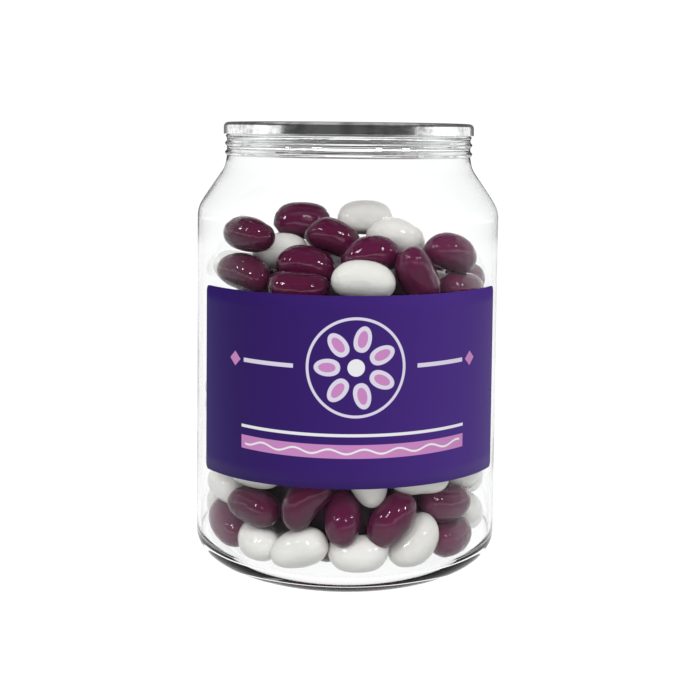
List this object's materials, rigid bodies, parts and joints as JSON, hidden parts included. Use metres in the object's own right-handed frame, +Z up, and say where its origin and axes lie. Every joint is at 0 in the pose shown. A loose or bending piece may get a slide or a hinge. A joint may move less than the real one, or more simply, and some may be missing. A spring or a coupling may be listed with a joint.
{
  "type": "jar of jelly beans",
  "caption": "Clear plastic jar with a seamed aluminium ring-pull end, a violet sticker label and a fill of purple and white jelly beans.",
  "frame": {"origin": "middle of the base, on the surface the jar stands on", "axes": "+Z up along the jar's axis, -Y towards the label"},
  "size_m": [0.066, 0.0664, 0.0941],
  "materials": {
    "clear_plastic": "clear, polished, colourless",
    "aluminium": "bright rolled sheet, softly brushed",
    "printed_label": "satin-laminated sticker, deep violet print",
    "sugar_shell": "polished sugar shell, half the pieces dark purple and half white"
  },
  "bodies": {
    "root": {"jar_body": "clear_plastic", "can_end": "aluminium", "ring_pull": "aluminium", "label": "printed_label", "jelly_beans": "sugar_shell"}
  },
  "joints": []
}
